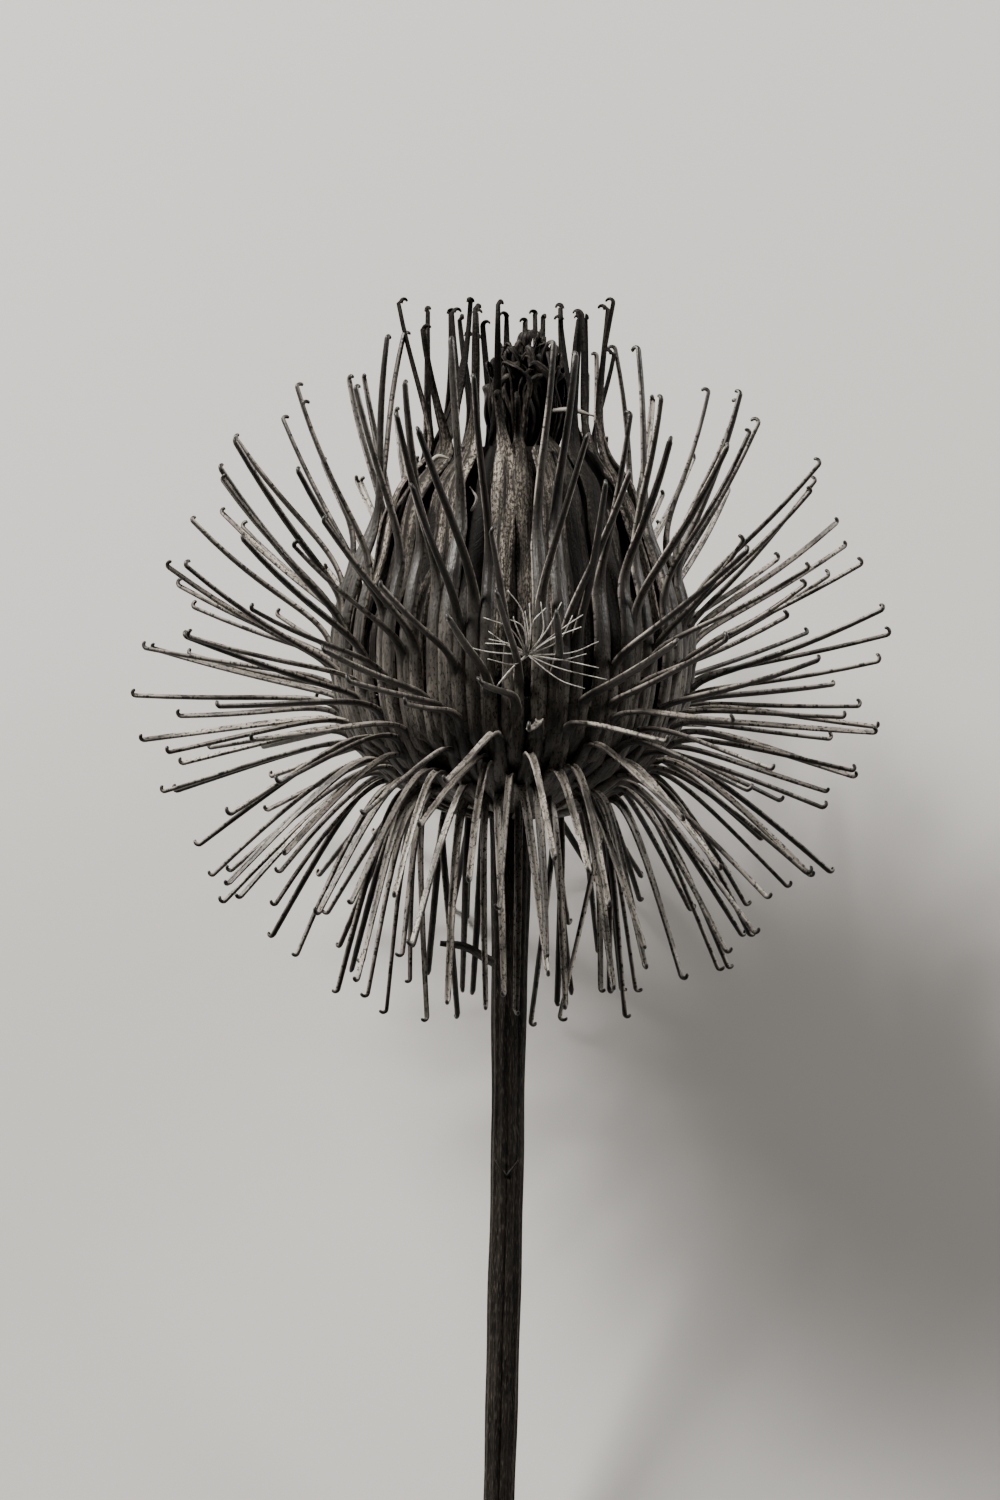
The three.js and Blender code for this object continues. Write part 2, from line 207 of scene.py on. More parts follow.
class Finish:
    """Builds one material: each method adds a node and returns its output."""

    def __init__(self, name):
        self.material = bpy.data.materials.new(name)
        self.material.use_nodes = True
        self.tree = self.material.node_tree
        self.shader = self.tree.nodes["Principled BSDF"]

    def node(self, kind, inputs=(), out=0, **settings):
        made = self.tree.nodes.new(kind)
        for key, value in settings.items():
            setattr(made, key, value)
        for key, value in dict(inputs).items():
            if isinstance(value, bpy.types.NodeSocket):
                self.tree.links.new(value, made.inputs[key])
            else:
                made.inputs[key].default_value = value
        return made.outputs[out]

    def kept(self, key):
        """What the mesh keeps under this name."""
        return self.node("ShaderNodeAttribute", out="Fac", attribute_name=key)

    def math(self, operation, *values):
        return self.node("ShaderNodeMath", inputs=dict(enumerate(values)), operation=operation)

    def strip_place(self, across, along, tone):
        """The place across and along a strip, each times a factor. The strip's tone, times the third,
        sets it apart, so that no two strips carry the same pattern."""
        factors = {"across": across, "along": along, "tone": tone}
        parts = [self.math("MULTIPLY", self.kept(key), factor) for key, factor in factors.items()]
        return self.node("ShaderNodeCombineXYZ", inputs=dict(enumerate(parts)))

    def room(self):
        """The place in the room, in metres."""
        return self.node("ShaderNodeTexCoord", out="Object")

    def noise(self, where, scale, detail=3.0, roughness=0.55):
        inputs = {"Vector": where, "Scale": scale, "Detail": detail, "Roughness": roughness}
        return self.node("ShaderNodeTexNoise", inputs=inputs)

    def spread(self, value, low, high, bottom=0.0, top=1.0):
        """Maps low..high of a value to bottom..top, and stops there."""
        inputs = {0: value, 1: low, 2: high, 3: bottom, 4: top}
        return self.node("ShaderNodeMapRange", inputs=inputs, clamp=True)

    def blend(self, share, a, b):
        inputs = {0: share, 6: a, 7: b}
        return self.node("ShaderNodeMix", inputs=inputs, out=2, data_type="RGBA")

    def bump(self, height, strength, distance):
        inputs = {"Height": height, "Strength": strength, "Distance": distance}
        return self.node("ShaderNodeBump", inputs=inputs)

    def use(self, key, value):
        if isinstance(value, bpy.types.NodeSocket):
            self.tree.links.new(value, self.shader.inputs[key])
        else:
            self.shader.inputs[key].default_value = value


def grey_brown(red, green, blue):
    """One of the dull colours that the bur and the table have."""
    return (red, green, blue, 1.0)


STALK_RADIUS = 0.88
STALK_TAPER = 0.08
STALK_FLARE = 0.33
STALK_FLARE_POWER = 9  # the higher, the shorter the flare
STALK_TOP = -8.9
STALK_END = -60.0
STALK_BEND = -0.6
STALK_CUT = math.radians(35)
STALK_CUT_LIFT = 1.0  # from the lower end to the middle of the cut
STALK_RIBS = 10
STALK_STEPS = 150
STALK_SIDES = 80


def stalk_shift(height):
    """How far the stalk bends aside at a height."""
    share = (STALK_TOP + 0.1 - height) / (STALK_TOP + 0.1 - STALK_END)
    return STALK_BEND * share**3


def stalk_relief(bearing, height):
    """How far the stalk's skin stands out, as a share of its radius: the main ribs, finer and broader
    ones that wander, and slow swellings along it."""
    ridge = 0.055 * math.cos(STALK_RIBS * bearing)
    ridge += 0.02 * math.cos(23 * bearing + 2 * math.sin(height * 0.11))
    ridge += 0.015 * math.sin(7 * bearing + height * 0.35)
    swell = 0.02 * math.sin(height * 0.8) + 0.02 * math.sin(height * 0.31 + 1)
    return ridge + swell


def add_stem(growth):
    for i in range(STALK_STEPS + 1):
        share = i / STALK_STEPS
        height = mix(STALK_END, STALK_TOP, share)
        radius = STALK_RADIUS + STALK_TAPER * share + STALK_FLARE * share**STALK_FLARE_POWER
        ring = []
        across = []
        for k in range(STALK_SIDES):
            bearing = 2 * math.pi * k / STALK_SIDES
            out = radius * (1 + stalk_relief(bearing, height))
            x = stalk_shift(height) + out * math.cos(bearing)
            y = out * math.sin(bearing)
            cut = STALK_END + STALK_CUT_LIFT - y * math.tan(STALK_CUT)
            ring.append(Vector((x, y, mix(cut, STALK_TOP, share))))
            across.append(bearing * radius)
        growth.add_ring(ring, across, [BACK] * STALK_SIDES, height - STALK_END, share, 0.5)
    growth.close_round(0, STALK_STEPS + 1, STALK_SIDES)


def stalk_finish():
    finish = Finish("dry_stalk")
    lengthwise = finish.strip_place(1.0, 0.12, 0.0)
    streaks = finish.noise(lengthwise, 3.2, 5.0)
    fibres = finish.noise(lengthwise, 14.0, 3.0)
    blotches = finish.noise(finish.room(), 180.0, 3.0)
    dark = grey_brown(0.005, 0.004, 0.0031)
    middle = grey_brown(0.017, 0.0138, 0.0108)
    pale = grey_brown(0.085, 0.073, 0.060)
    colour = finish.blend(finish.spread(streaks, 0.38, 0.60), dark, middle)
    colour = finish.blend(finish.spread(fibres, 0.52, 0.72, 0.0, 0.75), colour, pale)
    colour = finish.blend(finish.spread(blotches, 0.52, 0.66, 0.0, 0.7), colour, dark)
    finish.use("Base Color", colour)
    finish.use("Roughness", finish.spread(fibres, 0.3, 0.7, 0.6, 0.42))
    finish.use("Specular IOR Level", 0.16)
    finish.use("Normal", finish.bump(finish.math("ADD", streaks, fibres), 0.5, 0.0002))
    return finish.material


KEELED = [(-0.5, 0.4), (-0.36, -0.15), (0, -0.6), (0.36, -0.15), (0.5, 0.4), (0, 0.25)]


def through(stations, steps):
    """Points of a smooth curve through the stations (Catmull-Rom)."""
    ends = [stations[0] * 2 - stations[1], *stations, stations[-1] * 2 - stations[-2]]
    path = []
    for i in range(1, len(ends) - 2):
        a, b, c, d = ends[i - 1 : i + 3]
        for k in range(steps):
            t = k / steps
            point = b * 2 + (c - a) * t + (a * 2 - b * 5 + c * 4 - d) * t * t
            path.append((point + (b * 3 - a - c * 3 + d) * t**3) * 0.5)
    path.append(stations[-1])
    return path


def add_leaf_stump(growth):
    """What is left of a small leaf: a keeled, twisted shred that stands out to the left."""
    places = [(0.1, 0, -18.2), (-1.2, 0.2, -17.6), (-2.6, 0.5, -16.9), (-4.1, 0.7, -16.7)]
    path = through([Vector(place) for place in places], 6)
    sizes = []
    turns = []
    for i in range(len(path)):
        t = i / (len(path) - 1)
        sizes.append((mix(1.4, 0.35, t) + 0.12 * math.sin(11 * t), mix(0.62, 0.3, t)))
        turns.append(0.5 * i / len(path))
    growth.carry(path, sizes, KEELED, Vector((0, 0, 1)), 0.9, turns)


LEAF_SCAR_HEIGHT = -29.6
LEAF_SCAR_SPAN = 0.75  # of its bearing, on each side of the middle
LEAF_SCAR_RISE = 0.9


def add_leaf_scar(growth):
    """The raised V-shaped scar of a small leaf, on the side of the stalk that lies uppermost."""
    arms = []
    for k in range(9):
        aside = k / 4 - 1  # from -1 to 1
        height = LEAF_SCAR_HEIGHT - 0.6 + LEAF_SCAR_RISE * abs(aside)
        point = polar(-math.pi / 2 + LEAF_SCAR_SPAN * aside, STALK_RADIUS + 0.05, height)
        arms.append(point + Vector((stalk_shift(LEAF_SCAR_HEIGHT), 0, 0)))
    path = through(arms, 2)
    sizes = [(0.2, 0.16) for _ in path]
    growth.carry(path, sizes, KEELED, Vector((0, 1, 0)), 0.95)


stalk_growth = Growth()
add_stem(stalk_growth)
add_leaf_stump(stalk_growth)
add_leaf_scar(stalk_growth)
stalk = stalk_growth.make("stalk_stem", stalk_finish())
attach(stalk, "root")
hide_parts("stalk")


# ---- Hooked bracts ------------------------------------------------------------------------------
# Stiff narrow bracts grown on the swollen end of the stalk. Each runs up the body as a flat claw, arches
# away from it, and goes on as a grooved spine whose end curls into a hook towards the top of the head.
BODY_RADIUS = 10.5
BODY_WAIST = 1.0
BODY_FOOT = -8.8
BODY_FOOT_RADIUS = 1.3
BODY_FOOT_CLEAR = 0.06  # claws stop this far above the foot
BODY_LOWER_RISE = 9.9  # from the waist down to where the outline would close, and its two powers
BODY_LOWER_SQUARE = 2.6
BODY_LOWER_ROUND = 0.4545
BODY_UPPER_RISE = 17.8  # from the waist up to where it would close, and its power
BODY_UPPER_SQUARE = 1.65
BODY_SIDES = 160  # of the turned cores under the bracts
COLLAR = -2.2  # below it the receptacle carries the hooked bracts, above it stand the inner ones
GOLDEN_ANGLE = math.pi * (3 - math.sqrt(5))
BRACT_SEED = 20417
BRACT_COUNT = 174
CROWDING = 1.2  # the higher, the more of them have low tips
BETWEEN_COUNT = 70  # further ones that fill the spaces between the others
BETWEEN_CROWDING = 1.3
BETWEEN_BEARING = 1.1  # where their spiral starts
LOWEST_TIP = math.radians(-80)
HIGHEST_TIP = math.radians(71)
# How far the tips stand from the middle: less towards the top, less near the axis, and some fall short.
REACH = {"most": 22.2, "upward": 1.7, "axis": 0.8, "over": 0.01, "short": 0.13}
# Where a bract leaves the body, by the powers of the sine of its tip's angle; the last is for upper ones.
LEAVES = {"height": -3, "rise": 7.1, "bow": 1.6, "upward": 2.4}
# How much these vary from bract to bract.
VARIES = {"bearing": 0.12, "tip": 0.13, "tip_bearing": 0.22, "twist": 1.5, "radius": 0.4, "lift": 0.5}
VARIES |= {"shingle": 0.16, "width": 0.25}
# The shoulder that a bract arches over: how far it is up the body and out from it, how far the bract runs
# up the body before it, and how straight it then makes for its tip.
SHOULDER = {"up": 0.9, "out": 2.3, "run_up": 1.7, "straight": 0.05}
SHOULDER_UPPER = {"up": 1.6, "out": 1.3, "straight": 0.3}  # upper bracts: more up, less out, straighter
SHOULDER_LOWER_OUT = 1.5  # lower bracts: less out
CLAW = {"length": 3.0, "longer": 1.5, "step": 0.65, "sunk": 0.9, "sinks_over": 1.6, "axis": 0.6}
CLAW_WIDTHS = (1.15, 0.85)
CLAW_DEPTH = 0.5
SPINE_STEPS = 18
SPINE_SHARES = [(k / SPINE_STEPS) ** 1.35 for k in range(SPINE_STEPS + 1)]  # closer-spaced in the arch
SPINE_WIDTHS = (0.82, 0.55)  # in the arch and past it
SPINE_DEPTHS = (0.5, 0.42)
SPINE_ARCHED = 0.3  # the share of it that is the arch
SPINE_NARROWS = 0.4
SPINE_THINS = 0.35
SPINE_UNEVEN = 0.06
SPINE_CROOKED = 0.24
HOOK_RADIUS = 0.192
HOOK_SWEEP = 165  # degrees, and how much it varies
HOOK_SWEEP_VARIES = 50
HOOK_STEPS = 7
HOOK_WIDTHS = (0.29, 0.2)
HOOK_TIP = 0.1
REST_HEIGHT = 0.1
REST_SHARES = (0, 0.2, 0.48, 1)  # the points of the spine, while its bract is bent
REST_STEPS = 3  # and of its hook
REST_PASSES = 8

# One half of a bract's section, mirrored for the other: a groove on the inner face and a round back.
GROOVED = [(0.0, 0.02), (0.22, 0.10), (0.42, 0.36), (0.5, 0.20), (0.44, -0.16), (0.25, -0.42), (0.0, -0.5)]
GROOVED += [(-a, b) for a, b in GROOVED[-2:0:-1]]


def smooth_step(value, low, high):
    share = min(max((value - low) / (high - low), 0.0), 1.0)
    return share * share * (3 - 2 * share)


def body_radius(height):
    """From the axis to the outside of the head's closed bracts."""
    rise = height - BODY_WAIST
    if rise < 0:
        share = min(-rise / BODY_LOWER_RISE, 1)
        return BODY_RADIUS * (1 - share**BODY_LOWER_SQUARE) ** BODY_LOWER_ROUND
    return BODY_RADIUS * (1 - (rise / BODY_UPPER_RISE) ** BODY_UPPER_SQUARE)


def body_slope(height, within):
    """How fast the body widens as it rises."""
    return (body_radius(height + within) - body_radius(height - within)) / (2 * within)


def down_body(height, step):
    """The height reached by going so far down the outside of the body."""
    return max(height - step / math.hypot(1, body_slope(height, 0.05)), BODY_FOOT + BODY_FOOT_CLEAR)


def up_face(along, bearing):
    """The way a bract's inner face looks where it runs along: up on a level bract, in on an upright one."""
    return along.cross(polar(bearing + math.pi / 2, 1, 0)).normalized()


def curve_point(a, b, c, d, t):
    """A point of the smooth curve from a to d that b and c pull towards them (Bezier)."""
    s = 1 - t
    return a * s**3 + b * (3 * s * s * t) + c * (3 * s * t * t) + d * t**3


def hook_path(tip, along, inward, twist, radius, sweep, steps):
    """An arc that goes on from the tip and curls inward, or aside where it has a twist."""
    side = along.cross(inward)
    curl = inward * math.cos(twist) + side * math.sin(twist)
    path = []
    for k in range(steps):
        turn = sweep * (k + 1) / steps
        path.append(tip + along * (radius * math.sin(turn)) + curl * (radius * (1 - math.cos(turn))))
    return path


def rested(start, free, path_to):
    """Where a bract's tip comes to lie. One that would be under the table is pushed up and swung aside."""

    def sunk_by(path):
        outer_points = path[-REST_STEPS - 2 :]
        return REST_HEIGHT - min((BUR_LAID @ p).z for p in outer_points)

    path = path_to(free, REST_STEPS)
    if sunk_by(path) <= 0:
        return free
    length = (free - start).length
    origin = BUR_LAID @ start
    to = BUR_LAID @ free
    heading = math.atan2(to.y - origin.y, to.x - origin.x)
    upright = BUR_LAID.inverted()
    tip = free
    for _ in range(REST_PASSES):
        to.z += sunk_by(path)
        drop = min(abs(to.z - origin.z), length)
        level = math.sqrt(length * length - drop * drop)
        to.x = origin.x + level * math.cos(heading)
        to.y = origin.y + level * math.sin(heading)
        tip = upright @ to
        path = path_to(tip, REST_STEPS)
    return tip


class HookedBract:
    """One hooked bract. draw settles its place and its course, and whim its small flaws."""

    def __init__(self, order, bearing, draw):
        """order says how high the tip is, from 0 for the lowest bract to 1 for the highest."""
        level = mix(math.sin(LOWEST_TIP), math.sin(HIGHEST_TIP), order)
        self.bearing = bearing + VARIES["bearing"] * draw.wobble()
        angle = math.asin(level) + VARIES["tip"] * draw.wobble()
        rise = math.sin(angle)
        outline = REACH["most"] - REACH["upward"] * max(rise, 0) - REACH["axis"] * rise**4
        reach = outline * (1 + REACH["over"] - REACH["short"] * draw() * draw())
        self.tip_bearing = self.bearing + VARIES["tip_bearing"] * draw.wobble()
        self.twist = VARIES["twist"] * draw.wobble()
        self.hook_radius = HOOK_RADIUS * (1 + VARIES["radius"] * draw.wobble())
        self.hook_sweep = math.radians(HOOK_SWEEP + HOOK_SWEEP_VARIES * draw.wobble())
        self.lift = 1 + VARIES["lift"] * draw.wobble()

        self.upper = max(level, 0)
        self.lower = max(-level, 0)
        self.leaves = LEAVES["height"] + LEAVES["rise"] * level + LEAVES["bow"] * level**2
        self.leaves += LEAVES["upward"] * self.upper**3
        self.outward = polar(self.bearing, 1, 0)
        self.up_body = (self.outward * body_slope(self.leaves, 0.1) + Vector((0, 0, 1))).normalized()
        self.start = polar(self.bearing, body_radius(self.leaves), self.leaves)
        free = polar(self.tip_bearing, reach * math.cos(angle), reach * rise)
        self.tip = rested(self.start, free, self.path_to)
        self.curve = self.curve_to(self.tip)
        self.along = (self.curve[3] - self.curve[2]).normalized()

    def curve_to(self, tip):
        """The four controls of the spine's curve, from the body over the shoulder to the tip."""
        up = SHOULDER["up"] + SHOULDER_UPPER["up"] * self.upper
        run_up = SHOULDER["run_up"] + SHOULDER_UPPER["up"] * self.upper
        out = SHOULDER["out"] - SHOULDER_UPPER["out"] * self.upper
        out -= SHOULDER_LOWER_OUT * self.lower * self.lower
        straight = SHOULDER["straight"] + SHOULDER_UPPER["straight"] * self.upper
        shoulder = self.start + self.up_body * (up * self.lift) + self.outward * out
        near = self.start + self.up_body * (run_up * self.lift)
        return self.start, near, shoulder.lerp(tip, straight), tip

    def hook(self, tip, along, steps):
        inward = up_face(along, self.tip_bearing)
        return hook_path(tip, along, inward, self.twist, self.hook_radius, self.hook_sweep, steps)

    def path_to(self, tip, steps):
        """The spine in a few points, and the hook in so many more."""
        curve = self.curve_to(tip)
        along = (curve[3] - curve[2]).normalized()
        return [curve_point(*curve, t) for t in REST_SHARES] + self.hook(tip, along, steps)

    def claw(self, whim, shingle):
        """The claw, from deep in the receptacle up to where the bract leaves the body. shingle is how far
        it lies under or over its neighbours."""
        length = CLAW["length"] + CLAW["longer"] * whim() + max(self.leaves - COLLAR, 0)
        steps = max(int(length / CLAW["step"]), 3)
        path = []
        height = self.leaves
        for k in range(steps):
            height = down_body(height, length / steps)
            share = (k + 1) / steps
            left = length * (1 - share)
            sunk = CLAW["sunk"] * (1 - smooth_step(left, 0, CLAW["sinks_over"])) + shingle * share
            radius = max(body_radius(height) - sunk, CLAW["axis"])
            path.insert(0, polar(self.bearing, radius, height))
        return path

    def spine(self, whim):
        """The spine, a little crooked between its ends."""
        sway = Vector((whim.wobble(), whim.wobble(), whim.wobble())) * SPINE_CROOKED
        kink = Vector((whim.wobble(), whim.wobble(), whim.wobble())) * (SPINE_CROOKED / 2)
        path = []
        for t in SPINE_SHARES:
            point = curve_point(*self.curve, t)
            point += sway * (math.sin(math.pi * t) ** 2) + kink * (math.sin(2 * math.pi * t) * t)
            path.append(point)
        return path

    def sizes(self, claw_steps, wide, shingle):
        """Width and depth all along: a flat claw, a spine that gets slimmer, and a round, thin hook."""
        sizes = [(mix(*CLAW_WIDTHS, k / claw_steps) * wide, CLAW_DEPTH) for k in range(claw_steps)]
        for t in SPINE_SHARES:
            straight = smooth_step(t, 0, SPINE_ARCHED)
            width = mix(*SPINE_WIDTHS, straight) * (1 - SPINE_NARROWS * t**1.8) * wide
            width *= 1 + SPINE_UNEVEN * math.sin(9 * t + 20 * shingle)
            sizes.append((width, mix(*SPINE_DEPTHS, straight) * (1 - SPINE_THINS * t)))
        for k in range(HOOK_STEPS - 1):
            width = mix(*HOOK_WIDTHS, (k + 1) / HOOK_STEPS)
            sizes.append((width, width))
        return sizes + [(HOOK_TIP, HOOK_TIP)]

    def turns(self, path, claw_steps):
        """Turns the groove little by little, so that it ends on the inside of the hook."""
        face = -self.outward
        for i in range(claw_steps + SPINE_STEPS + 1):
            step = (path[i + 1] - path[max(i - 1, 0)]).normalized()
            face = (face - step * face.dot(step)).normalized()
        inward = up_face(self.along, self.tip_bearing)
        curl = inward * math.cos(self.twist) + self.along.cross(inward) * math.sin(self.twist)
        need = math.atan2(curl.dot(self.along.cross(face)), curl.dot(face))
        return [need * smooth_step((i - claw_steps) / SPINE_STEPS, 0.1, 1.0) for i in range(len(path))]

    def grow(self, growth, whim):
        shingle = VARIES["shingle"] * whim.wobble()
        claw = self.claw(whim, shingle)
        path = claw + self.spine(whim) + self.hook(self.tip, self.along, HOOK_STEPS)
        sizes = self.sizes(len(claw), 1 + VARIES["width"] * whim.wobble(), shingle)
        growth.carry(path, sizes, GROOVED, -self.outward, whim(), self.turns(path, len(claw)))


def grow_bracts(growth, count, crowding, first_bearing, draw, whim):
    """Grows bracts in the golden-angle spiral, from the lowest to the highest."""
    for index in range(count):
        order = ((index + 0.5) / count) ** crowding
        HookedBract(order, index * GOLDEN_ANGLE + first_bearing, draw).grow(growth, whim)


def bract_finish():
    finish = Finish("dry_hooked_bract")
    share = finish.kept("share")
    lengthwise = finish.strip_place(1.0, 0.1, 37.0)
    fibres = finish.noise(lengthwise, 7.0, 4.0)
    patches = finish.noise(lengthwise, 2.0, 2.0)
    specks = finish.noise(finish.strip_place(9.0, 4.5, 1.0), 1.0, 2.0, 0.6)
    grain = finish.noise(finish.room(), 3200.0, 2.0)
    stain = finish.noise(finish.room(), 260.0, 3.0)
    dark = grey_brown(0.0055, 0.0043, 0.0034)
    middle = grey_brown(0.026, 0.0212, 0.017)
    pale = grey_brown(0.44, 0.40, 0.345)
    colour = finish.blend(finish.spread(fibres, 0.30, 0.50), middle, pale)
    colour = finish.blend(finish.spread(patches, 0.38, 0.56, 0.6, 0.0), colour, middle)
    colour = finish.blend(finish.spread(finish.kept("tone"), 0.0, 0.9, 0.6, 0.0), colour, middle)
    colour = finish.blend(finish.spread(share, 0.15, 0.42, 0.5, 0.0), colour, middle)
    # Painted shade: every back face is painted darker than the inner faces, most of all on the free spines
    # and the receptacle core, so the undersides look shaded.
    free = finish.spread(share, 0.15, 0.30, 0.45, 0.9)
    back = finish.spread(finish.kept("inner"), -0.2, 0.1, 1.0, 0.0)
    colour = finish.blend(finish.math("MULTIPLY", back, free), colour, dark)
    colour = finish.blend(finish.spread(stain, 0.52, 0.66, 0.0, 0.75), colour, dark)
    colour = finish.blend(finish.spread(specks, 0.55, 0.60, 0.0, 0.85), colour, dark)
    colour = finish.blend(finish.spread(share, 0.80, 0.97, 0.0, 0.75), colour, dark)
    finish.use("Base Color", colour)
    finish.use("Roughness", finish.spread(fibres, 0.3, 0.7, 0.5, 0.38))
    finish.use("Specular IOR Level", 0.35)
    relief = finish.math("ADD", fibres, finish.math("MULTIPLY", grain, 0.5))
    finish.use("Normal", finish.bump(relief, 0.45, 0.00012))
    return finish.material


RECEPTACLE_UNDER = 0.4  # it stays this far inside the claws' outside
AXIS_HOLE = 0.01  # a turned core closes this near the axis


def receptacle_ripple(bearing, height):
    return 0.12 * math.cos(31 * bearing) + 0.05 * math.sin(53 * bearing + height)


bracts = Growth()
whim_bract = Draw(BRACT_SEED + 7)
grow_bracts(bracts, BRACT_COUNT, CROWDING, 0.0, Draw(BRACT_SEED), whim_bract)
grow_bracts(bracts, BETWEEN_COUNT, BETWEEN_CROWDING, BETWEEN_BEARING, Draw(BRACT_SEED + 11), whim_bract)
receptacle = [(AXIS_HOLE, BODY_FOOT), (BODY_FOOT_RADIUS, BODY_FOOT)]
for height in (-8.6, -8.3, -7.8, -7.2, -6.4, -5.4, -4.3, -3.3, COLLAR):
    receptacle.append((body_radius(height) - RECEPTACLE_UNDER, height))
receptacle.append((AXIS_HOLE, COLLAR))
bracts.turn_solid(receptacle, BODY_SIDES, 0.1, receptacle_ripple)
hooked = bracts.make("hooked_bracts", bract_finish())
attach(hooked, "root")
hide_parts("outer_bracts")


# ---- Inner bracts -------------------------------------------------------------------------------
# The innermost bracts: broad, flat and papery, with fine veins along them. They close round the seeds,
# stand apart a little at the mouth of the head, and narrow to finer hooked points.
INNER_COUNT = 30
INNER_WIDTH = 1.8
INNER_UNDER = 0.35  # they run this far inside the body's outside
INNER_SUNK = 0.95  # and so much deeper where the hooked ones cover them
INNER_FREE_FROM = 5  # above this height they come free of those
INNER_TOP = 20.9
MOUTH = 12.3
LOW_SIDE = 4.95  # bearing of the few that end low, on the side that lies uppermost
LOW_WITHIN = 0.37
LOW_TOP = 12.8
INNER_HEIGHTS = (-1.5, 1.4, 4.8, 8, 10.2, 12)  # of its stations on the body
INNER_WIDTHS = [0.8, 0.95, 1, 0.96, 0.88, 0.74, 0.38, 0.19]  # at all its stations, as shares
INNER_DEPTHS = (0.42, 0.3)
INNER_STATION_STEPS = 5
INNER_BEND = 10  # the height where it begins to lean aside
INNER_HOOK_RADIUS = 0.24
INNER_HOOK_SWEEP = 2.9
INNER_HOOK_STEPS = 8
INNER_HOOK_WIDTHS = (0.36, 0.12)
INNER_WAVE = 0.2  # how far it wanders in and out along its length
# Distance from the axis over the mouth and at the tip, with what splaying adds and the nearer ones lack.
INNER_NECK = {"radius": 5, "splay": 0.5, "nearer": 1.3}
INNER_TIP = {"radius": 4.6, "splay": 2.2, "nearer": 1.7}
# How much these vary from bract to bract.
INNER_VARIES = {"bearing": 0.25, "top": 3.4, "low_top": 2.6, "lean": 0.25, "twist": 2.5, "out": 0.1}
INNER_VARIES |= {"nearer_top": 0.6, "twirl": 0.9, "set_back": 0.35, "nearer_set_back": 0.65}
INNER_OUT = 0.05
NEARER_BY = 0.3  # every second bract stands this much nearer the seeds
NEARER_SET_BACK = 0.15  # and is set back at least so far above its foot
CUP_UNDER = 0.66  # the core of the cup stays this far inside the blades
INNER_SEED = BRACT_SEED + 1


def ribbed_blade(ribs):
    """A flat section, thickest along the middle, a little hollow inside and finely ribbed on its back."""
    section = [(0.0, 0.18), (0.3, 0.3), (0.5, 0.24)]
    for k in range(2 * ribs + 1):
        across = 0.48 - 0.96 * k / (2 * ribs)
        rib = -0.07 if k % 2 else 0.05
        section.append((across, 2.4 * across * across - 0.46 + rib))
    return section + [(-0.5, 0.24), (-0.3, 0.3)]


BLADE = ribbed_blade(7)


def inner_radius(height):
    free = smooth_step(height, INNER_FREE_FROM, INNER_BEND)
    return body_radius(height) - INNER_UNDER - INNER_SUNK * (1 - free)


def inner_stations(bearing, out, set_back, lean, splay, nearer, top):
    """The places that an inner bract runs through: up the body, in over the mouth and out to its tip."""
    stations = []
    for height in INNER_HEIGHTS:
        turn = lean * max(height - INNER_BEND, 0) / 10
        deeper = set_back * smooth_step(height, 0, 5)
        stations.append(polar(bearing + turn, inner_radius(height) + out - deeper, height))
    mouth_height = mix(INNER_HEIGHTS[-1], top, 0.35)
    neck = INNER_NECK["radius"] + INNER_NECK["splay"] * splay - INNER_NECK["nearer"] * nearer
    tip = INNER_TIP["radius"] + INNER_TIP["splay"] * splay - INNER_TIP["nearer"] * nearer
    stations.append(polar(bearing + 0.5 * lean, neck, mouth_height))
    stations.append(polar(bearing + lean, tip, top))
    return stations


def inner_size(at, ripple):
    """Width and depth of an inner bract, a little uneven; at counts the stations passed."""
    k = min(int(at), len(INNER_WIDTHS) - 2)
    share = mix(INNER_WIDTHS[k], INNER_WIDTHS[k + 1], at - k)
    uneven = 1 + 0.09 * math.sin(at * 2.4 + ripple) + 0.05 * math.sin(at * 6 + ripple)
    width = INNER_WIDTH * share * uneven * (1 - 0.14 * smooth_step(at, 1.5, 3.5))
    return width, mix(*INNER_DEPTHS, smooth_step(at, 5, 7))


